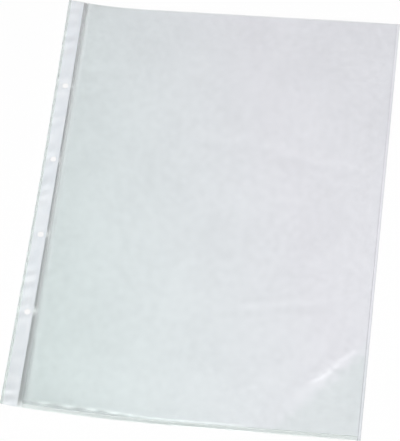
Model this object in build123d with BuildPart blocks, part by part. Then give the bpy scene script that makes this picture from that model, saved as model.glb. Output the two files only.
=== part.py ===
"""A punched pocket for one upright A3 sheet, lying on a table with its binding side curled up.

The curl is conical: the bottom corner of the binding side stands higher than its top corner.

Two plies of clear polypropylene film are welded along the spine, the bottom and the side, and
stay open at the top. Past the spine weld both plies run on as a binding margin that holds a
white reinforcing tape, punched with four filing holes. The margin swings on the bare film
between the tape and the spine weld.

The origin is on the table under the middle of the pocket. +X runs from the binding margin to
the side weld, +Y from the bottom weld to the mouth and +Z up from the table.
"""

import os
from math import asin, atan, cos, degrees, radians, sin

from build123d import *

# Sheet that the pocket takes, and the room around it (mm)
sheet_width = 297.0
sheet_height = 420.0
side_slack = 2.5
mouth_cover = 4.0

# Film plies
film = 0.2
ply_gap = 0.1
pocket_gap = 5.0

# Weld bands
side_weld_width = 3.0
bottom_weld_width = 4.0
spine_weld_width = 2.0
edge_weld_width = 2.4
dimple_pitch = 2.6
dimple_length = 1.3
dimple_depth = 0.15
dimple_border = 0.6

# Binding margin
tape_width = 12.4
tape_thickness = 0.2
hinge_width = 2.4
hole_diameter = 6.0
hole_pitch = 80.0
hole_count = 4
hole_inset = 9.6

# Curl of the binding side and crown of the front film
curl_radius_bottom = 680.0
curl_radius_mouth = 260.0
curl_angle = 12.0
bottom_close_run = 60.0
side_fall_run = 40.0

# Worked out from the sizes above
curl = radians(curl_angle)
weld_thickness = 2 * film + ply_gap
front_seat = film + ply_gap
strip_width = edge_weld_width + tape_width
pocket_width = sheet_width + 2 * side_slack
slope_run = spine_weld_width + hinge_width + strip_width
overall_height = sheet_height + mouth_cover + bottom_weld_width
pocket_reach = pocket_width - curl_radius_mouth * (curl - sin(curl))
overall_width = side_weld_width + pocket_reach + slope_run * cos(curl)

mouth_y = overall_height / 2
bottom_y = -overall_height / 2
pocket_floor_y = bottom_y + bottom_weld_width
full_crown_y = pocket_floor_y + bottom_close_run
side_edge_x = overall_width / 2
pocket_side_x = side_edge_x - side_weld_width

# The front film leaves the spine weld along the slope and levels out at its crown height
crown_z = film + pocket_gap
crown_drop = (crown_z - front_seat * cos(curl)) / (1 - cos(curl))
crown_shift = (crown_drop - front_seat) * sin(curl)

# It comes down to the side weld in two equal arcs, one over a crest and one into a toe
side_fall = crown_z - front_seat
fall_turn = 2 * atan(side_fall / side_fall_run)
fall_angle = degrees(fall_turn)
fall_radius = side_fall_run / (2 * sin(fall_turn))
fall_x = pocket_side_x - side_fall_run
crest_centre = (fall_x, crown_z - fall_radius)
toe_centre = (pocket_side_x, front_seat + fall_radius)


def curl_radius(y):
    """The back film's curl radius at y, which changes evenly from the bottom edge to the mouth."""
    share = (y - bottom_y) / overall_height
    return curl_radius_bottom + share * (curl_radius_mouth - curl_radius_bottom)


def curl_x(y):
    """Where the back film leaves the table at y."""
    return pocket_side_x - pocket_width + curl_radius(y) * curl


def slope_foot(y):
    """The point at y where the back film's underside reaches its full slope, beside the spine weld."""
    radius = curl_radius(y)
    return Vector(curl_x(y) - radius * sin(curl), y, radius * (1 - cos(curl)))


# Plane of the binding margin: X runs down the slope to the pocket, Y along the spine to the mouth
spine = (slope_foot(mouth_y) - slope_foot(bottom_y)).normalized()
square_to_margin = Vector(cos(curl), 0, -sin(curl)).cross(spine).normalized()
slope = Plane(origin=slope_foot(0), x_dir=spine.cross(square_to_margin), z_dir=square_to_margin)
strip_inner_x = -spine_weld_width - hinge_width
strip_outer_x = -slope_run
hole_x = strip_outer_x + hole_inset


def hanging_arc(centre, radius, start, end):
    """An arc below its centre, between two turns in degrees from its lowest point, positive towards +X."""
    lowest = -90
    return CenterArc(centre, radius, lowest + start, end - start)


def crest_arc(centre, radius, start, end):
    """An arc above its centre, between two turns in degrees from its highest point, positive towards +X."""
    highest = 90
    return CenterArc(centre, radius, highest - start, start - end)


def section(y, edges):
    """A face bounded by these edges, stood across the pocket at y along the sheet."""
    return Plane.XZ.offset(-y) * Face(Wire(edges))


def curled_band(y, low, high):
    """A section that follows the back film from the spine weld to the side weld.

    low and high are its two faces' distances above the back film's underside. Its edges are
    divided as the crowned section's are, so that the two can be lofted edge to edge.
    """
    radius = curl_radius(y)
    rise_x = curl_x(y)
    curl_centre = (rise_x, radius)
    foot_turn = -degrees(asin(crown_shift / radius))
    mid_fall_x = (fall_x + pocket_side_x) / 2
    under_rise = hanging_arc(curl_centre, radius - low, -curl_angle, foot_turn)
    over_rise = hanging_arc(curl_centre, radius - high, foot_turn, -curl_angle)
    edges = [
        under_rise,
        hanging_arc(curl_centre, radius - low, foot_turn, 0),
        Line((rise_x, low), (fall_x, low)),
        Line((fall_x, low), (mid_fall_x, low)),
        Line((mid_fall_x, low), (pocket_side_x, low)),
        Line((pocket_side_x, low), (pocket_side_x, high)),
        Line((pocket_side_x, high), (mid_fall_x, high)),
        Line((mid_fall_x, high), (fall_x, high)),
        Line((fall_x, high), (rise_x, high)),
        hanging_arc(curl_centre, radius - high, 0, foot_turn),
        over_rise,
        Line(over_rise @ 1, under_rise @ 0),
    ]
    return section(y, edges)


def crowned_band(y):
    """The front film's section where the pocket stands open to its full gap."""
    rise_x = curl_x(y)
    crown_x = rise_x - crown_shift
    crown_radius = curl_radius(y) - crown_drop
    crown_centre = (crown_x, crown_z + crown_radius)
    under_rise = hanging_arc(crown_centre, crown_radius, -curl_angle, 0)
    over_rise = hanging_arc(crown_centre, crown_radius - film, 0, -curl_angle)
    crown_top_z = crown_z + film
    edges = [
        under_rise,
        Line((crown_x, crown_z), (rise_x, crown_z)),
        Line((rise_x, crown_z), (fall_x, crown_z)),
        crest_arc(crest_centre, fall_radius, 0, fall_angle),
        hanging_arc(toe_centre, fall_radius, -fall_angle, 0),
        Line((pocket_side_x, front_seat), (pocket_side_x, front_seat + film)),
        hanging_arc(toe_centre, fall_radius - film, 0, -fall_angle),
        crest_arc(crest_centre, fall_radius + film, fall_angle, 0),
        Line((fall_x, crown_top_z), (rise_x, crown_top_z)),
        Line((rise_x, crown_top_z), (crown_x, crown_top_z)),
        over_rise,
        Line(over_rise @ 1, under_rise @ 0),
    ]
    return section(y, edges)


def on_back_film(run, y):
    """The plane on the back film's underside at this run along it from the side weld, Z square to the film."""
    radius = curl_radius(y)
    flat_run = pocket_side_x - curl_x(y)
    turn = max(run - flat_run, 0) / radius
    foot = (pocket_side_x - min(run, flat_run) - radius * sin(turn), y, radius * (1 - cos(turn)))
    return Plane(origin=foot, x_dir=(cos(turn), 0, -sin(turn)), z_dir=(sin(turn), 0, cos(turn)))


def dimple_row(length):
    """Middles of the weld dimples along a band of this length, measured from one end."""
    count = int(length / dimple_pitch) - 1
    first = (length - (count - 1) * dimple_pitch) / 2
    return [first + dimple_pitch * i for i in range(count)]


def punch_holes():
    """Places of the filing holes in the plane of the binding margin."""
    first = -hole_pitch * (hole_count - 1) / 2
    return [(hole_x, first + hole_pitch * i) for i in range(hole_count)]


# Sections across the pocket, seen from the bottom edge
back_mouth_section = curled_band(mouth_y, 0, film)
back_floor_section = curled_band(pocket_floor_y, 0, film)
weld_floor_section = curled_band(pocket_floor_y, 0, weld_thickness)
weld_edge_section = curled_band(bottom_y, 0, weld_thickness)
front_mouth_section = crowned_band(mouth_y)
front_crown_section = crowned_band(full_crown_y)
front_closed_section = curled_band(pocket_floor_y, front_seat, front_seat + film)

# Back film: flat on the table, then rising along the curl to the spine weld
with BuildPart() as back_film:
    loft([back_mouth_section, back_floor_section], ruled=True)

# Front film: crowned from the mouth down, closing on the back film above the bottom weld
with BuildPart() as front_film:
    loft([front_crown_section, front_closed_section], ruled=True)
    loft([front_mouth_section, front_crown_section], ruled=True)

# Bottom weld: both plies melted into one band that follows the curl, with a pressed row of dimples
bottom_mid_y = bottom_y + bottom_weld_width / 2
bottom_dimples = [on_back_film(run, bottom_mid_y) for run in dimple_row(pocket_width)]
with BuildPart() as bottom_weld:
    loft([weld_floor_section, weld_edge_section], ruled=True)
    with Locations(*[place.offset(weld_thickness) for place in bottom_dimples]):
        Box(dimple_length, bottom_weld_width - 2 * dimple_border, 2 * dimple_depth, mode=Mode.SUBTRACT)

# Side weld: a straight band down the whole free side, with its own row of dimples
side_mid_x = side_edge_x - side_weld_width / 2
side_dimples = [(side_mid_x, bottom_y + run) for run in dimple_row(overall_height)]
with BuildPart() as side_weld:
    with BuildSketch():
        with Locations((side_mid_x, 0)):
            Rectangle(side_weld_width, overall_height)
    extrude(amount=weld_thickness)
    with BuildSketch(Plane.XY.offset(weld_thickness)):
        with Locations(*side_dimples):
            Rectangle(side_weld_width - 2 * dimple_border, dimple_length)
    extrude(amount=-dimple_depth, mode=Mode.SUBTRACT)

# Spine weld: closes the pocket beside the binding margin
with BuildPart() as spine_weld:
    with BuildSketch(slope):
        with Locations((-spine_weld_width / 2, 0)):
            Rectangle(spine_weld_width, overall_height)
    extrude(amount=weld_thickness)

# Hinge film: the bare back ply that bends when the binding margin swings
with BuildPart() as hinge_film:
    with BuildSketch(slope):
        with Locations((strip_inner_x + hinge_width / 2, 0)):
            Rectangle(hinge_width, overall_height)
    extrude(amount=film)

# Binding margin: back ply, white tape with the outer edge weld beside it, and front ply
with BuildPart() as margin_back_ply:
    with BuildSketch(slope):
        with Locations((strip_outer_x + strip_width / 2, 0)):
            Rectangle(strip_width, overall_height)
        with Locations(*punch_holes()):
            Circle(hole_diameter / 2, mode=Mode.SUBTRACT)
    extrude(amount=film)

with BuildPart() as reinforcing_tape:
    with BuildSketch(slope.offset(film)):
        with Locations((strip_inner_x - tape_width / 2, 0)):
            Rectangle(tape_width, overall_height)
        with Locations(*punch_holes()):
            Circle(hole_diameter / 2, mode=Mode.SUBTRACT)
    extrude(amount=tape_thickness)

with BuildPart() as edge_weld:
    with BuildSketch(slope.offset(film)):
        with Locations((strip_outer_x + edge_weld_width / 2, 0)):
            Rectangle(edge_weld_width, overall_height)
    extrude(amount=tape_thickness)

with BuildPart() as margin_front_ply:
    with BuildSketch(slope.offset(film + tape_thickness)):
        with Locations((strip_outer_x + strip_width / 2, 0)):
            Rectangle(strip_width, overall_height)
        with Locations(*punch_holes()):
            Circle(hole_diameter / 2, mode=Mode.SUBTRACT)
    extrude(amount=film)

os.makedirs("parts", exist_ok=True)
pieces = {
    "back_film": back_film,
    "front_film": front_film,
    "bottom_weld": bottom_weld,
    "side_weld": side_weld,
    "spine_weld": spine_weld,
    "hinge_film": hinge_film,
    "margin_back_ply": margin_back_ply,
    "reinforcing_tape": reinforcing_tape,
    "edge_weld": edge_weld,
    "margin_front_ply": margin_front_ply,
}
for name, piece in pieces.items():
    piece.part.label = name
    export_step(piece.part, f"parts/{name}.step")
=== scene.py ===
"""A punched A3 pocket of clear film, lying on a white table with its binding strip curled up.

The pocket's films, welds and binding strip are meshes that follow one shared surface, the lie of the
film on the table. Sizes are in millimetres until a mesh is made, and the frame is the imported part's:
+X from the binding strip to the side weld, +Y from the bottom weld to the mouth and +Z up.
"""

import logging
from dataclasses import dataclass, field, replace
from enum import Enum
from math import cos, pi, radians, sin
from typing import Any, Callable

import bpy
import numpy as np
from mathutils import Matrix, Vector, geometry

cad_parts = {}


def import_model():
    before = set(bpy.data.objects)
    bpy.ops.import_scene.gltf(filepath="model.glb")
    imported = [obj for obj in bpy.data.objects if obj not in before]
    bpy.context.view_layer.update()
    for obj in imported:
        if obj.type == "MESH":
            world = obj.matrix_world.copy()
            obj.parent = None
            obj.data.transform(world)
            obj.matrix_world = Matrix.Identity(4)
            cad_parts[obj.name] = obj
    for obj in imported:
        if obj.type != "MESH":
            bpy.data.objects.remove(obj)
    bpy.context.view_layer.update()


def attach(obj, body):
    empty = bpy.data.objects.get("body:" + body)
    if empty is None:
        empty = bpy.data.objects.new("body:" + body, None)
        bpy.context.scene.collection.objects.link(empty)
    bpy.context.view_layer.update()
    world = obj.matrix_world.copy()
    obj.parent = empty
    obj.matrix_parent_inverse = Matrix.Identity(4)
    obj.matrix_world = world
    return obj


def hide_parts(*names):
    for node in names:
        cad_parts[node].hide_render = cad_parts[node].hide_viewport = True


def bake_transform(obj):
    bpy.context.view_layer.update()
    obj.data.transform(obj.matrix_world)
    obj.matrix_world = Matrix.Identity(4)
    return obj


LOG = logging.getLogger("pocket")
MM = 0.001
UP = np.array([0.0, 0.0, 1.0])
WHITE = (1.0, 1.0, 1.0, 1.0)
# Most values of a noise texture lie between these two.
NOISE_RANGE = (0.3, 0.7)
SCHLICK_POWER = 5.0
SHARP_ANGLE = radians(35)
HOLE_SIDES = 40
# Share of a step that is kept free of places around a hole.
HOLE_CLEARANCE = 0.4
# Share of a hole's radius within which triangles are cut out.
HOLE_INSIDE = 0.98
SAME_PLACE = 1e-6

Grid = np.ndarray
Faces = list[tuple[int, ...]]
Layout = tuple[Grid, Faces]
Pair = tuple[float, float]
Triple = tuple[float, float, float]
Surface = Callable[[Grid, Grid], Grid]
Socket = bpy.types.NodeSocket
Tree = bpy.types.NodeTree
Material = bpy.types.Material
Mesh = bpy.types.Mesh


class Body(Enum):
    """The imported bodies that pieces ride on."""

    POCKET = "pocket"
    STRIP = "binding_strip"


class Shows(Enum):
    """What a lamp does: light surfaces, or show as a reflection in them."""

    LIT = "lit"
    MIRRORED = "mirrored"


class Slot(Enum):
    """The record's material slots."""

    FILM = "clear_film"
    WELD = "welded_film"
    TAPE = "white_tape"


def linear(colour: str) -> tuple[float, float, float, float]:
    """Turn an sRGB hex colour into linear RGBA.

    Args:
        colour: Six hex digits after a hash sign.

    Returns:
        Linear red, green and blue, with full alpha.
    """
    parts = [int(colour[i : i + 2], 16) / 255 for i in (1, 3, 5)]
    red, green, blue = (c / 12.92 if c <= 0.04045 else ((c + 0.055) / 1.055) ** 2.4 for c in parts)
    return red, green, blue, 1.0


def add_node(tree: Tree, kind: str, inputs: dict[Any, Any] | None = None, **settings: Any) -> bpy.types.Node:
    """Add a shader node with its settings, and set or link its inputs.

    Args:
        tree: The node tree that takes the node.
        kind: Blender's name for the node type.
        inputs: Socket names or places, each with a value or an output socket to link.
        **settings: The node's own properties.

    Returns:
        The new node.
    """
    made = tree.nodes.new(kind)
    for name, value in settings.items():
        setattr(made, name, value)
    for name, value in (inputs or {}).items():
        if isinstance(value, Socket):
            tree.links.new(value, made.inputs[name])
        else:
            made.inputs[name].default_value = value
    return made


def noise(tree: Tree, place: Socket, size_mm: float, detail: float) -> Socket:
    """Add a noise texture.

    Args:
        tree: The node tree that takes it.
        place: Where to look, in metres.
        size_mm: About how wide one feature is.
        detail: How many finer layers it has.

    Returns:
        The noise, from 0 to 1.
    """
    inputs = {"Vector": place, "Scale": 1.0 / (size_mm * MM), "Detail": detail}
    return add_node(tree, "ShaderNodeTexNoise", inputs).outputs["Fac"]


def calculate(tree: Tree, operation: str, *values: Any, clamp: bool = False) -> Socket:
    """Add a maths node.

    Args:
        tree: The node tree that takes it.
        operation: Blender's name for what it works out.
        *values: Numbers, or output sockets to link.
        clamp: Whether the result is kept from 0 to 1.

    Returns:
        The result.
    """
    inputs = dict(enumerate(values))
    return add_node(tree, "ShaderNodeMath", inputs, operation=operation, use_clamp=clamp).outputs[0]


def rescale(tree: Tree, value: Socket, source: Pair, target: Pair = (0.0, 1.0), **settings: Any) -> Socket:
    """Add a node that maps one range of values onto another and stops at its ends.

    Args:
        tree: The node tree that takes it.
        value: What to map.
        source: The range that the value runs over.
        target: The range that it is mapped onto.
        **settings: The node's own properties.

    Returns:
        The mapped value.
    """
    inputs = {0: value, 1: source[0], 2: source[1], 3: target[0], 4: target[1]}
    return add_node(tree, "ShaderNodeMapRange", inputs, **settings).outputs[0]


def mix_colours(tree: Tree, share: Socket, first: Any, second: Any) -> Socket:
    """Add a node that goes from one colour to another.

    Args:
        tree: The node tree that takes it.
        share: Share of the second colour.
        first: The colour, or its socket, at 0.
        second: The colour, or its socket, at 1.

    Returns:
        The mixed colour.
    """
    return add_node(tree, "ShaderNodeMix", {0: share, 6: first, 7: second}, data_type="RGBA").outputs[2]


def new_material(name: str) -> tuple[Material, Tree]:
    """Make an empty node material.

    Args:
        name: The material's name.

    Returns:
        The material and its cleared node tree.
    """
    material = bpy.data.materials.new(name)
    material.use_nodes = True
    material.node_tree.nodes.clear()
    return material, material.node_tree


def smoothstep(value: Grid, low: Grid | float, high: Grid | float) -> Grid:
    """Rise smoothly from 0 at low to 1 at high.

    Args:
        value: Where to look.
        low: Where the rise starts.
        high: Where it ends, which may lie below low.

    Returns:
        Shares from 0 to 1.
    """
    t = np.clip((value - low) / (high - low), 0, 1)
    return t * t * (3 - 2 * t)


def wave(place: Grid, length: float, phase: Grid | float = 0.0) -> Grid:
    """Sine wave of this length, from -1 to 1, with its phase in radians."""
    return np.sin(2 * pi * place / length + phase)


def lines(start: float, end: float, step: float) -> Grid:
    """Evenly spaced grid lines from start to end, at most step apart."""
    return np.linspace(start, end, max(2, int(np.ceil(abs(end - start) / step)) + 1))


@dataclass(frozen=True)
class EmbossedFilm:
    """Clear cast polypropylene film with a fine embossed grain.

    To the eye: see-through with a grey haze, a broad soft sheen, and a faint teal cast where the film
    curls up, darkened there with painted shade. The emboss breaks the haze into a fine mottle. Lines beside
    the welds are painted light as clearer film, a line above the bottom weld is painted shade as hazier
    film, and the corner past the large wrinkle is painted darker.
    """

    name: str = "embossed_polypropylene_film"
    haze: str = "#bcbdc1"
    opacity: float = 0.062
    rim_opacity: float = -0.055
    edge_on_opacity: float = 0.4
    edge_on_power: float = 3.0
    teal_shade_pass: Triple = (0.977, 0.9957, 0.9915)
    violet_pass: Triple = (0.9935, 0.994, 0.9995)
    cast_and_shade_slope: Triple = (-3.6, -1.2, 0.0)
    cast_and_shade_range: Pair = (-0.3, 0.8)
    corner_shade_pass: Triple = (0.9815, 0.9895, 0.9905)
    corner_shade_line: Triple = (0.749, -0.663, 0.0)
    corner_shade_from_mm: float = 207.0
    corner_shade_run_mm: float = 16.0
    corner_shade_stray_mm: float = 24.0
    roughness: float = 0.34
    mirror_head_on: float = 0.04
    mirror_roughness: float = 0.2
    ior: float = 1.49
    grain_mm: float = 2.2
    grain_depth_mm: float = 0.009
    grain_strength: float = 0.6
    mottle_mm: float = 7.0
    mottle_share: float = 0.09
    cloud_mm: float = 70.0
    cloud_share: float = 0.07

    def build(self) -> Material:
        """Make the film's material.

        Returns:
            A see-through mix of haze and gloss over plain transparency.
        """
        material, tree = new_material(self.name)
        place = add_node(tree, "ShaderNodeTexCoord").outputs["Object"]
        # The emboss is finer than this on the real film; drawn coarser so that it shows in the render.
        grain = noise(tree, place, self.grain_mm, 2.0)
        mottle = noise(tree, place, self.mottle_mm, 3.0)
        cloud = noise(tree, place, self.cloud_mm, 2.0)
        inputs = {"Strength": self.grain_strength, "Distance": self.grain_depth_mm * MM, "Height": grain}
        bump = add_node(tree, "ShaderNodeBump", inputs).outputs[0]
        spread = self.mottle_share * self.opacity
        spotted = rescale(tree, mottle, NOISE_RANGE, (self.opacity - spread, self.opacity + spread))
        clouded = rescale(tree, cloud, NOISE_RANGE, (1 - self.cloud_share, 1 + self.cloud_share))
        haze = calculate(tree, "MULTIPLY", spotted, clouded)
        # The rim attribute makes weld beads denser. On the films it paints light as clearer lines beside the
        # welds and shade as a hazier line above the bottom weld, and on the hinge film it paints light as a
        # whiter crease.
        rim = add_node(tree, "ShaderNodeAttribute", attribute_name="rim").outputs["Fac"]
        haze = calculate(tree, "MULTIPLY_ADD", rim, self.rim_opacity, haze)
        facing = add_node(tree, "ShaderNodeLayerWeight").outputs["Facing"]
        grazing = calculate(tree, "POWER", facing, self.edge_on_power)
        cover = calculate(tree, "MULTIPLY_ADD", grazing, self.edge_on_opacity, haze, clamp=True)
        slope, corner = (
            add_node(tree, "ShaderNodeVectorMath", {0: place, 1: way}, operation="DOT_PRODUCT").outputs[1]
            for way in (self.cast_and_shade_slope, self.corner_shade_line)
        )
        # The teal cast grows towards the binding strip and the bottom weld, and its darker pass is painted
        # shade there.
        cast = rescale(tree, slope, self.cast_and_shade_range)
        tint = mix_colours(tree, cast, (*self.violet_pass, 1.0), (*self.teal_shade_pass, 1.0))
        # Painted shade: past the large wrinkle the corner is drawn a little darker.
        border = calculate(tree, "MULTIPLY_ADD", mottle, self.corner_shade_stray_mm * MM, corner)
        start = self.corner_shade_from_mm * MM
        run = (start, start + self.corner_shade_run_mm * MM)
        corner_shade = rescale(tree, border, run, interpolation_type="SMOOTHSTEP")
        passed = mix_colours(tree, corner_shade, tint, (*self.corner_shade_pass, 1.0))
        clear = add_node(tree, "ShaderNodeBsdfTransparent", {"Color": passed}).outputs[0]
        haze_colour = linear(self.haze)
        inputs = {"Base Color": haze_colour, "Roughness": self.roughness, "IOR": self.ior, "Normal": bump}
        body = add_node(tree, "ShaderNodeBsdfPrincipled", inputs).outputs[0]
        film = add_node(tree, "ShaderNodeMixShader", {0: cover, 1: clear, 2: body}).outputs[0]
        # Both faces mirror alike, so the sheen comes from the facing angle by Schlick's rule.
        steep = calculate(tree, "POWER", facing, SCHLICK_POWER)
        mirrored = calculate(tree, "MULTIPLY_ADD", steep, 1 - self.mirror_head_on, self.mirror_head_on)
        inputs = {"Color": WHITE, "Roughness": self.mirror_roughness, "Normal": bump}
        sheen = add_node(tree, "ShaderNodeBsdfGlossy", inputs).outputs[0]
        shown = add_node(tree, "ShaderNodeMixShader", {0: mirrored, 1: film, 2: sheen}).outputs[0]
        add_node(tree, "ShaderNodeOutputMaterial", {"Surface": shown})
        return material


@dataclass(frozen=True)
class SatinTape:
    """White polypropylene tape, extruded and slit, with a satin face.

    To the eye: a cool opaque white with faint streaks along its length and soft broad patches.
    """

    name: str = "satin_white_polypropylene_tape"
    white: str = "#f9fafd"
    shade: str = "#eef1f6"
    white_range: Pair = (0.75, 1.25)
    roughness: float = 0.42
    ior: float = 1.49
    streak_mm: float = 1.4
    streak_length_mm: float = 24.0
    streak_depth_mm: float = 0.008
    streak_strength: float = 0.3
    patch_mm: float = 16.0

    def build(self) -> Material:
        """Make the tape's material.

        Returns:
            An opaque satin white with streaks along the strip.
        """
        material, tree = new_material(self.name)
        place = add_node(tree, "ShaderNodeTexCoord").outputs["Object"]
        inputs = {"Vector": place, "Scale": (1.0, self.streak_mm / self.streak_length_mm, 1.0)}
        stretch = add_node(tree, "ShaderNodeMapping", inputs).outputs[0]
        streaks = noise(tree, stretch, self.streak_mm, 3.0)
        patches = noise(tree, place, self.patch_mm, 1.0)
        share = rescale(tree, calculate(tree, "ADD", streaks, patches), self.white_range)
        colour = mix_colours(tree, share, linear(self.shade), linear(self.white))
        inputs = {"Strength": self.streak_strength, "Distance": self.streak_depth_mm * MM, "Height": streaks}
        bump = add_node(tree, "ShaderNodeBump", inputs).outputs[0]
        inputs = {"Base Color": colour, "Roughness": self.roughness, "IOR": self.ior, "Normal": bump}
        tape = add_node(tree, "ShaderNodeBsdfPrincipled", inputs).outputs[0]
        add_node(tree, "ShaderNodeOutputMaterial", {"Surface": tape})
        return material


@dataclass(frozen=True)
class Wrinkle:
    """A soft ridge in the front film, or a crease where its height is less than 0, in millimetres.

    It runs between two points over the table. Its height grows from a share at its start to the whole at
    its end, and crinkles give it short humps. The places where it rises, falls and starts to crinkle are
    shares of its length.
    """

    start: Pair
    end: Pair
    width: float
    height: float
    start_share: float = 1.0
    crinkle: float = 0.0
    crinkle_length: float = 10.0
    rises: Pair = (-0.15, 0.2)
    falls: Pair = (1.15, 0.85)
    crinkle_rises: Pair = (0.2, 0.6)
    hump_stray: float = 1.4
    hump_stray_rate: float = 0.37
    hump_skew: float = 0.5
    wander: float = 0.35
    wander_rate: float = 0.61
    wander_phase: float = 0.7

    def rise(self, x: Grid, y: Grid) -> Grid:
        """Height of the ridge.

        Args:
            x: Places across the pocket.
            y: Places along the pocket.

        Returns:
            The rise at each place.
        """
        a, b = np.array(self.start), np.array(self.end)
        length = float(np.hypot(*(b - a)))
        along = (b - a) / length
        run = (x - a[0]) * along[0] + (y - a[1]) * along[1]
        off = (y - a[1]) * along[0] - (x - a[0]) * along[1]
        share = run / length
        fade = smoothstep(share, *self.rises) * smoothstep(share, *self.falls)
        fade = fade * (self.start_share + (1 - self.start_share) * np.clip(share, 0, 1))
        turn = 2 * pi * run / self.crinkle_length
        crinkle = self.crinkle * smoothstep(share, *self.crinkle_rises)
        stray = self.hump_stray * np.sin(self.hump_stray_rate * turn) + self.hump_skew * off / self.width
        humps = 1 + crinkle * np.sin(turn + stray)
        wander = self.wander * self.width * crinkle * np.sin(self.wander_rate * turn + self.wander_phase)
        return self.height * fade * humps * np.exp(-(((off + wander) / self.width) ** 2))


@dataclass(frozen=True)
class Lie:
    """How the film lies: the surface that every piece follows, in millimetres.

    A place on the film is its run, measured along the film from the side weld's inner edge to the
    binding strip, and y, along the pocket.
    """

    # Flat sizes.
    height: float = 428.0
    side_x: float = 158.692
    pocket_width: float = 302.0
    spine_weld: float = 2.0
    hinge: float = 2.4
    edge_weld: float = 2.4
    tape: float = 12.4
    film: float = 0.2
    ply_gap: float = 0.1
    bottom_weld: float = 4.0
    side_weld: float = 3.0
    # The conical curl of the binding side, and its bow along y.
    curl_radius_bottom: float = 680.0
    curl_radius_mouth: float = 260.0
    curl: float = radians(12.0)
    bow_start_run: float = 195.0
    bow_mid: float = -2.1
    bow_end: float = 0.7
    # The strip's outer edge, which droops in the middle, and its ripple.
    edge_droop: float = -2.0
    edge_lean: float = -0.75
    edge_lift: float = 3.25
    ripple: float = 0.28
    ripple_length: float = 16.5
    ripple_swing: float = 0.1
    ripple_swing_length: float = 133.0
    ripple_strays: tuple[Pair, ...] = ((1.3, 97.0), (0.9, 41.0))
    ripple_skew: float = 2.4
    ripple_full: float = 0.4
    # The gap between the films, closed at the welds and nearly closed at the mouth. Each swell in it has a
    # height, a scale along the run, one along y and a phase.
    pocket_gap: float = 2.0
    gap_run: float = 45.0
    floor_run: float = 60.0
    lip_run: float = 70.0
    lip_share: float = 0.25
    swells: tuple[tuple[float, ...], ...] = ((0.32, 23.0, 41.0, 0.8), (0.28, 37.0, -29.0, 2.1))
    dent_height: float = 0.22
    dent_scales: Pair = (13.0, 47.0)
    dent_phase: float = 0.5
    dent_stray: float = 0.6
    dent_stray_scale: float = 31.0
    wrinkle_fade: float = 10.0
    # The puckers along the bottom weld, beside the strip.
    pucker_height: float = 0.9
    pucker_crest: float = 5.5
    pucker_width: float = 3.0
    pucker_foot: float = 2.0
    pucker_from: float = 237.0
    pucker_pitch: float = 20.0
    pucker_stray: float = 0.6
    pucker_stray_scale: float = 17.0
    pucker_rises: Pair = (185.0, 215.0)
    pucker_falls: Pair = (300.0, 285.0)

    @property
    def strip_run(self) -> float:
        """Run at the binding strip's inner edge."""
        return self.pocket_width + self.spine_weld + self.hinge

    @property
    def outer_run(self) -> float:
        """Run at the binding strip's outer edge."""
        return self.strip_run + self.tape + self.edge_weld

    @property
    def floor_y(self) -> float:
        """Where the pocket ends above the bottom weld."""
        return -self.height / 2 + self.bottom_weld

    def under(self, run: Grid, y: Grid) -> Grid:
        """Underside of the back film, the strip and the welds.

        Args:
            run: Runs along the film.
            y: Places along the pocket.

        Returns:
            Points in millimetres, with x, y and z last.
        """
        share = (y + self.height / 2) / self.height
        t = 2 * share - 1
        radius = self.curl_radius_bottom + share * (self.curl_radius_mouth - self.curl_radius_bottom)
        flat = self.pocket_width - radius * self.curl
        turn = np.clip((run - flat) / radius, 0, self.curl)
        past = np.clip(run - self.pocket_width, 0, None)
        x = self.side_x - np.minimum(run, flat) - radius * np.sin(turn) - past * cos(self.curl)
        z = radius * (1 - np.cos(turn)) + past * sin(self.curl)
        start = np.minimum(flat, self.bow_start_run)
        reach = np.clip((run - start) / (self.pocket_width - start), 0, None)
        bow = self.bow_mid + (self.bow_end - self.bow_mid) * t * t
        z = z + bow * np.where(reach < 1, reach**2, 2 * reach - 1)
        strip = np.clip((run - self.strip_run) / (self.outer_run - self.strip_run), 0, None)
        edge = self.edge_droop + self.edge_lean * t + self.edge_lift * t * t
        z = z + edge * strip**2 + self.rippled(strip, y) * smoothstep(strip, 0.0, self.ripple_full)
        return np.stack([x, y + 0 * run, np.maximum(z, 0)], -1)

    def rippled(self, strip: Grid, y: Grid) -> Grid:
        """Uneven ripple along the binding strip, by shares of the strip's width and by y."""
        height = self.ripple + self.ripple_swing * wave(y, self.ripple_swing_length)
        stray = sum(turn * wave(y, length) for turn, length in self.ripple_strays)
        return height * wave(y, self.ripple_length, stray + self.ripple_skew * strip)

    def opening(self, run: Grid, y: Grid, wrinkles: tuple[Wrinkle, ...]) -> Grid:
        """Gap between the two films.

        Args:
            run: Runs along the film.
            y: Places along the pocket.
            wrinkles: Ridges of the front film.

        Returns:
            The height of the front film above its seat on the back film.
        """
        width, mouth = self.pocket_width, self.height / 2
        rise = y - self.floor_y
        inside = smoothstep(run, 0, self.gap_run) * smoothstep(run, width, width - self.gap_run)
        inside = inside * smoothstep(rise, 0, self.floor_run)
        inside = inside * (1 - (1 - self.lip_share) * smoothstep(y, mouth - self.lip_run, mouth))
        swell = sum(height * np.sin(run / a + y / b + phase) for height, a, b, phase in self.swells)
        across, along = self.dent_scales
        stray = self.dent_stray * np.sin(y / self.dent_stray_scale)
        dents = np.sin(run / across + stray) * np.sin(y / along + self.dent_phase)
        gap = inside * (self.pocket_gap + swell + self.dent_height * dents)
        ridges = sum(wrinkle.rise(self.side_x - run, y) for wrinkle in wrinkles)
        ridges = ridges * smoothstep(run, 0, self.wrinkle_fade) * smoothstep(rise, 0, self.wrinkle_fade)
        hump = np.exp(-(((rise - self.pucker_crest) / self.pucker_width) ** 2))
        puckers = self.pucker_height * self.pucker(run) * hump * smoothstep(rise, 0, self.pucker_foot)
        return np.maximum(gap + ridges + puckers, 0)

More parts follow.
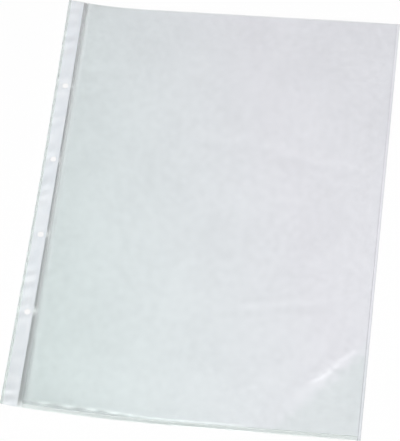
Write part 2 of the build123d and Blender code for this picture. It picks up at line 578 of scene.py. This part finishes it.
    def pucker(self, run: Grid) -> Grid:
        """Share of the puckers that gather the front film along the bottom weld, beside the strip."""
        stray = self.pucker_stray * np.sin(run / self.pucker_stray_scale)
        waves = 0.5 + 0.5 * wave(run - self.pucker_from, self.pucker_pitch, stray)
        return waves * smoothstep(run, *self.pucker_rises) * smoothstep(run, *self.pucker_falls)


@dataclass
class Piece:
    """One finished mesh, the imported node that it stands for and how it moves."""

    node: str
    name: str
    slot: Slot
    material: Material
    body: Body | None

    def dress(self, mesh: Mesh) -> bpy.types.Object:
        """Place the mesh in the scene in its node's stead.

        Args:
            mesh: The piece's mesh, in metres.

        Returns:
            The new object.
        """
        mesh.materials.append(self.material)
        made = bpy.data.objects.new(self.name, mesh)
        bpy.context.scene.collection.objects.link(made)
        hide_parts(self.node)
        if self.body is not None:
            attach(made, self.body.value)
        LOG.info("%s stands for %s, %d faces", self.name, self.node, len(mesh.polygons))
        return made


def shell(name: str, faces: Faces, low: Grid, high: Grid) -> Mesh:
    """Make a closed thin mesh between two surfaces over one flat layout.

    Args:
        name: The mesh's name.
        faces: The layout's faces, by place.
        low: The lower surface's points, in millimetres.
        high: The upper surface's points, in millimetres.

    Returns:
        The mesh in metres, with sharp edges where its faces turn.
    """
    count = len(low)
    # An edge that only one face uses lies on the border, and a wall closes the shell there.
    uses: dict[tuple[int, int], tuple[int, int] | None] = {}
    for face in faces:
        for a, b in zip(face, face[1:] + face[:1]):
            key = (min(a, b), max(a, b))
            uses[key] = None if key in uses else (a, b)
    walls = [(*edge, edge[1] + count, edge[0] + count) for edge in uses.values() if edge]
    top = [tuple(i + count for i in face) for face in faces]
    bottom = [tuple(reversed(face)) for face in faces]
    every = top + bottom + walls
    first, second, third = (high[i] for i in faces[0][:3])
    if np.cross(second - first, third - first)[2] <= 0:
        every = [tuple(reversed(face)) for face in every]
    mesh = bpy.data.meshes.new(name)
    mesh.from_pydata((np.concatenate([low, high]) * MM).tolist(), [], every)
    mesh.validate()
    mesh.shade_smooth()
    mesh.set_sharp_from_angle(angle=SHARP_ANGLE)
    return mesh


def mark_rim(mesh: Mesh, share: Grid) -> None:
    """Mark how much of its finish's rim opacity each place of a shell takes on.

    Args:
        mesh: A mesh made by shell.
        share: One share for each place of its layout, which may lie below 0 or above 1.
    """
    mark = mesh.attributes.new("rim", "FLOAT", "POINT")
    mark.data.foreach_set("value", np.concatenate([share, share]).astype(np.float32))


def grid_layout(first: Grid, second: Grid) -> Layout:
    """Lay a grid of four-sided faces over two sets of lines.

    Args:
        first: Lines of the first coordinate.
        second: Lines of the second coordinate.

    Returns:
        The grid's places and its faces.
    """
    a, b = np.meshgrid(first, second, indexing="ij")
    n, m = len(first), len(second)
    corners = [i * m + j for i in range(n - 1) for j in range(m - 1)]
    faces = [(k, k + m, k + m + 1, k + 1) for k in corners]
    return np.stack([a.ravel(), b.ravel()], -1), faces


def punched_layout(runs: Pair, ys: Pair, holes: list[Pair], radius: float, step: float) -> Layout:
    """Lay triangles over a rectangle with round holes.

    Args:
        runs: The rectangle's two ends along the run.
        ys: Its two ends along the pocket.
        holes: Middles of the holes.
        radius: Radius of the holes.
        step: Distance between places.

    Returns:
        The layout's places and its triangles.
    """
    across, along = lines(*runs, step), lines(*ys, step)
    rim = [(r, ys[0]) for r in across[:-1]] + [(runs[1], y) for y in along[:-1]]
    rim += [(r, ys[1]) for r in across[:0:-1]] + [(runs[0], y) for y in along[:0:-1]]
    places = [Vector(p) for p in rim]
    edges = [(i, (i + 1) % len(rim)) for i in range(len(rim))]
    turns = np.linspace(0, 2 * pi, HOLE_SIDES, endpoint=False)
    for hole in holes:
        first = len(places)
        places += [Vector((hole[0] + radius * cos(t), hole[1] + radius * sin(t))) for t in turns]
        edges += [(first + i, first + (i + 1) % HOLE_SIDES) for i in range(HOLE_SIDES)]
    clear = radius + HOLE_CLEARANCE * step
    for r in across[1:-1]:
        for y in along[1:-1]:
            if all(np.hypot(r - h[0], y - h[1]) > clear for h in holes):
                places.append(Vector((r, y)))
    # Output type 1 fills the outline with triangles, the holes too.
    found, _, faces, *_ = geometry.delaunay_2d_cdt(places, edges, [], 1, SAME_PLACE)
    flat = np.array([tuple(v) for v in found])
    kept = []
    for face in faces:
        middle = flat[list(face)].mean(0)
        if all(np.hypot(*(middle - np.array(h))) > HOLE_INSIDE * radius for h in holes):
            kept.append(tuple(face))
    return flat, kept


@dataclass
class Dimples:
    """The pressed row of dimples along a weld band, in millimetres."""

    pitch: float = 2.6
    length: float = 1.3
    depth: float = 0.15
    border: float = 0.6
    wall: float = 0.2

    def middles(self, length: float) -> Grid:
        """Middles of the dimples along a band of this length."""
        count = int(length / self.pitch) - 1
        return (length - (count - 1) * self.pitch) / 2 + self.pitch * np.arange(count)

    def stations(self, length: float) -> Grid:
        """Grid lines from end to end of a band of this length, four to a dimple."""
        half = self.length / 2
        steps = np.array([-half, -half + self.wall, half - self.wall, half])
        places = self.middles(length)[:, None] + steps
        return np.concatenate([[0.0], places.ravel(), [length]])

    def sink(self, along: Grid, across: Grid, length: float, width: float) -> Grid:
        """How far the dimples sink a band of this length and width, at places along and across it."""
        nearest = np.abs(along[:, None] - self.middles(length)[None, :]).min(1)
        inside = np.clip((self.length / 2 - nearest) / self.wall, 0, 1)
        edge = np.minimum(across, width - across)
        return self.depth * inside * np.clip((edge - self.border) / self.wall, 0, 1)


@dataclass
class WeldBand:
    """A weld band with a raised melt bead along each border and a row of dimples between them.

    The marks say how much rim opacity its two beads and its middle have. The bead's fade and the middle's
    marks are given at the band's start, middle and end.
    """

    length: float
    width: float
    thickness: float
    place: Surface
    dimples: Dimples | None = field(default_factory=Dimples)
    bead_width: float = 0.9
    bead_height: float = 0.16
    bead_lines: int = 5
    bead_foot: float = 0.2
    bead_soft: float = 0.4
    bead_marks: Pair = (1.0, 1.0)
    bead_fade: Triple = (1.0, 1.0, 1.0)
    middle_marks: Triple = (0.0, 0.0, 0.0)
    plain_step: float = 2.5

    def mesh(self, name: str) -> Mesh:
        """Make the band.

        Args:
            name: The mesh's name.

        Returns:
            The band's closed mesh, with its beads marked in the rim attribute.
        """
        length, width, bead = self.length, self.width, self.bead_width
        side = np.linspace(0, bead, self.bead_lines)
        foot = bead + self.bead_foot
        inner = [foot, width - foot] if self.dimples else []
        stations = self.dimples.stations(length) if self.dimples else lines(0, length, self.plain_step)
        flat, faces = grid_layout(stations, np.concatenate([side, inner, width - side[::-1]]))
        along, across = flat.T
        edge = np.minimum(across, width - across)
        top = self.thickness + self.bead_height * np.sin(pi * np.clip(edge / bead, 0, 1)) ** 2
        if self.dimples:
            top = top - self.dimples.sink(along, across, length, width)
        low = self.place(along, across)
        high = low.copy()
        high[:, 2] += top
        mesh = shell(name, faces, low, high)
        posts = [0, length / 2, length]
        beads = np.where(across < width / 2, *self.bead_marks) * (1 - self.bead_soft * edge / bead)
        beads = beads * np.interp(along, posts, self.bead_fade)
        middle = np.interp(along, posts, self.middle_marks)
        mark_rim(mesh, np.where(edge < bead, beads, middle))
        return mesh


@dataclass
class Pocket:
    """The pocket: two films and the three welds that close it."""

    lie: Lie
    film: Material
    weld: Material
    cool_weld: Material
    painted_light_weld: Material
    # The large wrinkle over the corner with four short ridges on it and a soft one beside it, then creases.
    wrinkles: tuple[Wrinkle, ...] = (
        Wrinkle((89.5, -185.5), (150.5, -117.5), 6.5, 0.95, start_share=0.6, crinkle=0.24),
        Wrinkle((136.0, -138.4), (148.7, -128.5), 1.7, 0.28),
        Wrinkle((125.5, -148.9), (133.2, -144.5), 1.7, 0.17),
        Wrinkle((122.4, -154.2), (128.8, -150.5), 1.7, 0.1),
        Wrinkle((106.8, -163.5), (116.4, -159.0), 1.7, 0.2),
        Wrinkle((52.0, -176.0), (128.0, -108.0), 11.0, 0.5),
        Wrinkle((-26.0, 77.0), (92.0, 62.0), 6.0, -0.7),
        Wrinkle((60.0, 60.5), (146.0, 50.0), 4.0, -0.9),
        Wrinkle((20.0, -100.5), (118.0, -85.5), 4.5, -0.9),
        Wrinkle((38.0, -95.0), (86.0, -82.0), 4.0, 0.5),
    )
    # Grid steps of the films: fine over the wrinkle, beside the spine weld and above the bottom weld.
    step: float = 3.0
    fine_step: float = 1.0
    fine_run: float = 75.0
    fine_y: float = -110.0
    spine_step: float = 1.5
    spine_run: float = 290.0
    floor_step: float = 0.7
    floor_reach: float = 12.0
    # Painted shade: hazier film in a line above the bottom weld, beside the strip, where the front film
    # gathers in puckers.
    gathered_run: Pair = (180.0, 250.0)
    gathered_reach: float = 2.6
    gathered_spread: float = 1.5
    gathered_swing: float = 0.7
    gathered_core: float = 0.5
    gathered_shade: float = 1.5
    least_fade: float = 0.1
    # Painted light: clearer film in lines beside the bottom weld and the spine weld; beside the spine weld
    # it narrows the shade beside the strip.
    lit_line_run: Pair = (90.0, 120.0)
    lit_line_width: float = 2.2
    lit_line_rises: Pair = (0.0, 0.3)
    lit_line_falls: Pair = (1.2, 0.7)
    spine_painted_light: float = 0.35
    spine_reach: Pair = (4.0, 1.5)
    spine_rises: Pair = (-150.0, -40.0)

    def lit_and_shaded_share(self, run: Grid, y: Grid) -> Grid:
        """How far the film is made clearer beside two welds, as painted light, and below 0 where it is made
        hazier above the bottom weld, as painted shade.

        Args:
            run: Runs along the film.
            y: Places along the pocket.

        Returns:
            One share for each place.
        """
        above = y - self.lie.floor_y
        pucker = self.lie.pucker(run)
        gathered = smoothstep(run, *self.gathered_run)
        reach = self.gathered_reach * (self.gathered_spread - self.gathered_swing * pucker) * gathered
        core = self.gathered_core * reach - self.least_fade
        # Painted shade: a hazier line above the bottom weld, beside the strip.
        haze = self.gathered_shade * gathered * smoothstep(above, reach, core)
        # Painted light: a clearer line above the bottom weld.
        off = (above - reach) / self.lit_line_width
        line = smoothstep(off, *self.lit_line_rises) * smoothstep(off, *self.lit_line_falls)
        strength = smoothstep(run, *self.lit_line_run) * (1 - gathered * (1 - pucker))
        # Painted light: clearer film beside the spine weld.
        beside_spine = smoothstep(self.lie.pocket_width - run, *self.spine_reach)
        spine = self.spine_painted_light * beside_spine * smoothstep(y, *self.spine_rises)
        return strength * line + spine - haze

    def film_lines(self) -> tuple[Grid, Grid]:
        """Grid lines of the two films.

        Returns:
            Lines along the run and along y, closer near the welds and over the wrinkle.
        """
        floor = self.lie.floor_y
        above = floor + self.floor_reach
        runs = (
            lines(0, self.fine_run, self.fine_step),
            lines(self.fine_run, self.spine_run, self.step),
            lines(self.spine_run, self.lie.pocket_width, self.spine_step),
        )
        ys = (
            lines(floor, above, self.floor_step),
            lines(above, self.fine_y, self.fine_step),
            lines(self.fine_y, self.lie.height / 2, self.step),
        )
        return np.unique(np.concatenate(runs)), np.unique(np.concatenate(ys))

    def film_sheet(self, node: str, name: str, lift: Surface) -> bpy.types.Object:
        """Build one of the two films.

        Args:
            node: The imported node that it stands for.
            name: The piece's name.
            lift: How far it lies above the underside of the pocket.

        Returns:
            The film's object.
        """
        flat, faces = grid_layout(*self.film_lines())
        low = self.lie.under(*flat.T)
        low[:, 2] += lift(*flat.T)
        mesh = shell(name, faces, low, low + self.lie.film * UP)
        mark_rim(mesh, self.lit_and_shaded_share(*flat.T))
        return Piece(node, name, Slot.FILM, self.film, Body.POCKET).dress(mesh)

    def weld_bands(self) -> None:
        """Build the welds along the bottom edge, down the free side and beside the binding strip."""
        lie = self.lie
        half = lie.height / 2
        thickness = 2 * lie.film + lie.ply_gap
        bottom = WeldBand(
            lie.pocket_width,
            lie.bottom_weld,
            thickness,
            lambda run, across: lie.under(run, across - half),
            bead_marks=(0.4, 1.5),
            bead_fade=(1.3, 0.8, 0.3),
            middle_marks=(0.3, 1.0, 0.0),
        )
        side = WeldBand(
            lie.height,
            lie.side_weld,
            thickness,
            lambda along, across: lie.under(-across, along - half),
            bead_marks=(1.0, 0.45),
            bead_fade=(1.15, 0.85, 0.6),
        )
        # Its white middle is painted light beside the strip.
        spine = WeldBand(
            lie.height,
            lie.spine_weld,
            thickness,
            lambda along, across: lie.under(lie.pocket_width + across, along - half),
            dimples=None,
            bead_width=0.5,
            bead_height=0.08,
            bead_fade=(0.0, 1.0, 0.0),
            middle_marks=(0.0, 0.9, 0.0),
        )
        for node, name, band, finish in (
            ("bottom_weld", "bottom_weld_band", bottom, self.weld),
            ("side_weld", "side_weld_band", side, self.cool_weld),
            ("spine_weld", "spine_weld_band", spine, self.painted_light_weld),
        ):
            Piece(node, name, Slot.WELD, finish, Body.POCKET).dress(band.mesh(name))

    def build(self) -> None:
        """Build every piece of the pocket."""
        lie = self.lie
        seat = lie.film + lie.ply_gap
        back = self.film_sheet("back_film", "back_film_sheet", lambda run, y: 0 * run)
        front = self.film_sheet(
            "front_film", "front_film_sheet", lambda run, y: seat + lie.opening(run, y, self.wrinkles)
        )
        self.weld_bands()


@dataclass
class BindingStrip:
    """The punched binding strip: white tape between two plies of film, and the film that it hinges on."""

    lie: Lie
    ply: Material
    hinge: Material
    weld: Material
    tape_finish: Material
    hole_count: int = 4
    hole_radius: float = 3.0
    hole_pitch: float = 80.0
    hole_inset: float = 9.6
    step: float = 1.9
    edge_step: float = 0.8
    hinge_step: float = 0.2
    tape_thickness: float = 0.2
    layer_gap: float = 0.03
    # Where the hinge film is drawn whiter, as painted light over the shade beside the strip: shares of its
    # width from the strip, and of half the strip's length.
    lit_crease_across: Pair = (0.4, 0.8)
    lit_crease_along: Pair = (-0.7, 0.1)
    lit_mouth_along: Pair = (0.3, 0.9)

    def holes(self) -> list[Pair]:
        """Middles of the filing holes, as run and y."""
        run = self.lie.outer_run - self.hole_inset
        middle = (self.hole_count - 1) / 2
        return [(run, self.hole_pitch * (i - middle)) for i in range(self.hole_count)]

    def punched(self, name: str, runs: Pair, base: float, thickness: float) -> Mesh:
        """Make a punched layer of the strip.

        Args:
            name: The mesh's name.
            runs: The layer's two ends along the run.
            base: Its height above the strip's underside.
            thickness: Its thickness.

        Returns:
            The layer's mesh.
        """
        half = self.lie.height / 2
        flat, faces = punched_layout(runs, (-half, half), self.holes(), self.hole_radius, self.step)
        low = self.lie.under(*flat.T) + base * UP
        return shell(name, faces, low, low + thickness * UP)

    def edge_weld(self, name: str, runs: Pair, base: float) -> Mesh:
        """Make the weld that closes the plies outside the tape.

        Args:
            name: The mesh's name.
            runs: The band's two ends along the run.
            base: Its height above the strip's underside.

        Returns:
            The band's mesh.
        """
        half = self.lie.height / 2
        flat, faces = grid_layout(lines(*runs, self.edge_step), lines(-half, half, self.step))
        low = self.lie.under(*flat.T) + base * UP
        mesh = shell(name, faces, low, low + (self.tape_thickness - self.layer_gap) * UP)
        mark_rim(mesh, smoothstep(flat[:, 0], runs[0], 0.5 * (runs[0] + runs[1])))
        return mesh

    def hinge_film(self) -> None:
        """Build the bare film that bends between the pocket and the strip."""
        lie = self.lie
        half = lie.height / 2
        start = lie.strip_run - lie.hinge
        runs = lines(start, lie.strip_run, self.hinge_step)
        flat, faces = grid_layout(runs, lines(-half, half, self.step))
        low = lie.under(*flat.T)
        mesh = shell("hinge_film_strip", faces, low, low + lie.film * UP)
        across, along = (lie.strip_run - flat[:, 0]) / lie.hinge, flat[:, 1] / half
        # Painted light: the crease and the mouth end of the hinge film are drawn whiter.
        crease = smoothstep(across, *self.lit_crease_across) * smoothstep(along, *self.lit_crease_along)
        mark_rim(mesh, np.maximum(crease, smoothstep(along, *self.lit_mouth_along)))
        made = Piece("hinge_film", "hinge_film_strip", Slot.FILM, self.hinge, None).dress(mesh)
        ends = lie.under(np.array([start, lie.strip_run, start, start]), np.array([0, 0, -half, half]))
        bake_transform(made)

    def build(self) -> None:
        """Build the strip's layers from the back ply up, the edge weld and the hinge film."""
        lie = self.lie
        inner, outer = lie.strip_run, lie.outer_run
        tape_end = inner + lie.tape
        film, tape, gap = lie.film, self.tape_thickness, self.layer_gap
        back = Piece("margin_back_ply", "margin_back_sheet", Slot.FILM, self.ply, Body.STRIP)
        white = Piece("reinforcing_tape", "white_tape_strip", Slot.TAPE, self.tape_finish, Body.STRIP)
        front = Piece("margin_front_ply", "margin_front_sheet", Slot.FILM, self.ply, Body.STRIP)
        for piece, end, base, thickness in (
            (back, outer, 0.0, film),
            (white, tape_end, film + gap, tape - 2 * gap),
            (front, outer, film + tape, film),
        ):
            piece.dress(self.punched(piece.name, (inner, end), base, thickness))
        edge = Piece("edge_weld", "edge_weld_band", Slot.WELD, self.weld, Body.STRIP)
        edge.dress(self.edge_weld(edge.name, (tape_end, outer), film + 0.5 * gap))
        self.hinge_film()


def glow(size: Pair, white: float) -> float:
    """Power at which a lamp of this size, in millimetres, is this many times as bright as white."""
    return white * pi * size[0] * size[1] * MM**2


@dataclass(frozen=True)
class Studio:
    """White table, soft key from the front left, lamps overhead, fill from all round, and the camera."""

    azimuth: float = radians(17.27)
    elevation: float = radians(63.61)
    roll: float = radians(-11.61)
    distance: float = 2125.0
    target: Triple = (-6.5, -9.4, 0.0)
    focal_px: float = 2278.0
    image: tuple[int, int] = (400, 441)
    sensor: float = 36.0
    sight_m: float = 100.0
    key_lean: Pair = (-0.24, -0.52)
    key_share: float = 0.645
    key_angle: float = radians(22.0)
    fill_share: float = 0.11
    softbox_place: Triple = (60.0, -90.0, 560.0)
    softbox_size: Pair = (450.0, 450.0)
    softbox_share: float = 0.25
    panel_place: Triple = (250.0, -50.0, 650.0)
    panel_size: Pair = (130.0, 130.0)
    panel_white: float = 3.4
    tube_place: Triple = (60.0, -290.0, 650.0)
    tube_size: Pair = (900.0, 320.0)
    tube_white: float = 1.3
    ceiling_heights: Pair = (0.85, 1.0)
    ceiling_whites: Pair = (0.88, 1.48)
    table_half_m: float = 6.0
    table_drop: float = 0.02
    plain_white: float = 0.93
    films_deep: int = 32

    def camera(self) -> None:
        """Set the camera where the picture was taken from."""
        level = cos(self.elevation)
        back = Vector((sin(self.azimuth) * level, -cos(self.azimuth) * level, sin(self.elevation)))
        right = Vector((cos(self.azimuth), sin(self.azimuth), 0.0))
        up = back.cross(right)
        across = cos(self.roll) * right + sin(self.roll) * up
        upward = -sin(self.roll) * right + cos(self.roll) * up
        data = bpy.data.cameras.new("camera")
        data.sensor_width = self.sensor
        data.lens = self.focal_px / max(self.image) * self.sensor
        data.clip_end = self.sight_m
        made = bpy.data.objects.new("camera", data)
        bpy.context.scene.collection.objects.link(made)
        turn = Matrix((across, upward, back)).transposed().to_4x4()
        made.matrix_world = Matrix.Translation((Vector(self.target) + back * self.distance) * MM) @ turn
        bpy.context.scene.camera = made

    def hang(self, name: str, place: Triple, size: Pair, watts: float, shows: Shows) -> None:
        """Hang a flat lamp over the table, facing down.

        Args:
            name: The lamp's name.
            place: Where it hangs, in millimetres.
            size: Its sides along x and y, in millimetres.
            watts: Its power.
            shows: What it does.
        """
        data = bpy.data.lights.new(name, "AREA")
        data.shape = "RECTANGLE"
        data.size, data.size_y = size[0] * MM, size[1] * MM
        data.energy = watts
        made = bpy.data.objects.new(name, data)
        made.location = Vector(place) * MM
        made.visible_camera = False
        made.visible_diffuse = shows is Shows.LIT
        made.visible_glossy = shows is Shows.MIRRORED
        bpy.context.scene.collection.objects.link(made)

    def lamps(self) -> None:
        """Light the table from the front left and from overhead."""
        towards = Vector((*self.key_lean, 1.0)).normalized()
        data = bpy.data.lights.new("key", "SUN")
        data.angle = self.key_angle
        data.energy = self.key_share * pi / towards.z
        made = bpy.data.objects.new("key", data)
        made.rotation_mode = "QUATERNION"
        made.rotation_quaternion = towards.to_track_quat("Z", "Y")
        bpy.context.scene.collection.objects.link(made)
        under_softbox = self.softbox_share * (pi * self.softbox_place[2] * MM) ** 2
        self.hang("softbox", self.softbox_place, self.softbox_size, under_softbox, Shows.LIT)
        panel = glow(self.panel_size, self.panel_white)
        self.hang("panel", self.panel_place, self.panel_size, panel, Shows.MIRRORED)
        tube = glow(self.tube_size, self.tube_white)
        self.hang("tube", self.tube_place, self.tube_size, tube, Shows.MIRRORED)

    def room(self) -> None:
        """Fill evenly from all round with a white room."""
        world = bpy.data.worlds.new("fill")
        world.use_nodes = True
        tree = world.node_tree
        tree.nodes.clear()
        path = add_node(tree, "ShaderNodeLightPath").outputs
        seen = calculate(tree, "MAXIMUM", path["Is Camera Ray"], path["Is Transmission Ray"])
        plain = rescale(tree, seen, (0.0, 1.0), (self.fill_share, 1.0))
        # Shiny surfaces mirror a white room whose ceiling is lit a little more overhead.
        towards_sky = add_node(tree, "ShaderNodeTexCoord").outputs["Generated"]
        height = add_node(tree, "ShaderNodeSeparateXYZ", {0: towards_sky}).outputs["Z"]
        ceiling = rescale(tree, height, self.ceiling_heights, self.ceiling_whites)
        inputs = {0: path["Is Glossy Ray"], 2: plain, 3: ceiling}
        strength = add_node(tree, "ShaderNodeMix", inputs, data_type="FLOAT").outputs[0]
        shade = add_node(tree, "ShaderNodeBackground", {"Strength": strength, "Color": WHITE}).outputs[0]
        add_node(tree, "ShaderNodeOutputWorld", {"Surface": shade})
        bpy.context.scene.world = world

    def table(self) -> None:
        """Lay the white table: plain white where it is seen bare, shaded where it is seen through film."""
        mesh = bpy.data.meshes.new("table")
        half, level = self.table_half_m, -self.table_drop * MM
        corners = [(-half, -half, level), (half, -half, level), (half, half, level), (-half, half, level)]
        mesh.from_pydata(corners, [], [(0, 1, 2, 3)])
        material, tree = new_material("white_table")
        path = add_node(tree, "ShaderNodeLightPath").outputs
        bare = calculate(tree, "LESS_THAN", path["Transparent Depth"], 0.5)
        plain = calculate(tree, "MULTIPLY", bare, path["Is Camera Ray"])
        share = calculate(tree, "MULTIPLY", plain, self.plain_white)
        lit = add_node(tree, "ShaderNodeBsdfDiffuse", {"Color": WHITE}).outputs[0]
        white = add_node(tree, "ShaderNodeEmission", {"Color": WHITE}).outputs[0]
        shown = add_node(tree, "ShaderNodeMixShader", {0: share, 1: lit, 2: white}).outputs[0]
        add_node(tree, "ShaderNodeOutputMaterial", {"Surface": shown})
        mesh.materials.append(material)
        made = bpy.data.objects.new("table", mesh)
        bpy.context.scene.collection.objects.link(made)

    def build(self) -> None:
        """Set up the table, the lights, the camera and the view."""
        self.table()
        self.lamps()
        self.room()
        self.camera()
        scene = bpy.context.scene
        scene.view_settings.view_transform = "Standard"
        scene.cycles.transparent_max_bounces = self.films_deep


def main() -> None:
    """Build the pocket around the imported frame."""
    logging.basicConfig(level=logging.INFO, format="%(message)s")
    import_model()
    lie = Lie()
    film = EmbossedFilm()
    # Film melted into one band: denser, with a green-grey haze and a sharper gloss.
    weld = EmbossedFilm(
        name="welded_polypropylene_film",
        haze="#b3c0bb",
        opacity=0.1,
        rim_opacity=0.12,
        roughness=0.22,
        grain_depth_mm=0.01,
    )
    # The weld on the free side looks cooler, blue-grey along its beads.
    cool_weld = replace(weld, name="cool_polypropylene_weld", haze="#b9bbc7")
    # Film laid tight over the white tape, where it hardly shows.
    ply = EmbossedFilm(name="margin_polypropylene_film", teal_shade_pass=(0.987, 0.9957, 0.9935), opacity=0.028)
    # Bare film that has been bent: its darker pass is painted shade beside the strip, and its whiter crease
    # is painted light that lifts that shade.
    hinge = EmbossedFilm(
        name="creased_film_painted_shade_and_light",
        haze="#e4e6e8",
        teal_shade_pass=(0.93, 0.945, 0.94),
        opacity=0.02,
        rim_opacity=0.26,
    )
    # A clear weld drawn white in the middle of its length: painted light that stands for a highlight along
    # the weld and lifts the shade beside the strip.
    painted_light_weld = EmbossedFilm(
        name="polypropylene_weld_painted_light", haze="#eceef0", opacity=0.03, rim_opacity=0.2, roughness=0.22
    )
    weld_finish = weld.build()
    Pocket(lie, film.build(), weld_finish, cool_weld.build(), painted_light_weld.build()).build()
    BindingStrip(lie, ply.build(), hinge.build(), weld_finish, SatinTape().build()).build()
    Studio().build()
    bpy.context.view_layer.update()


if __name__ == "__main__":
    main()
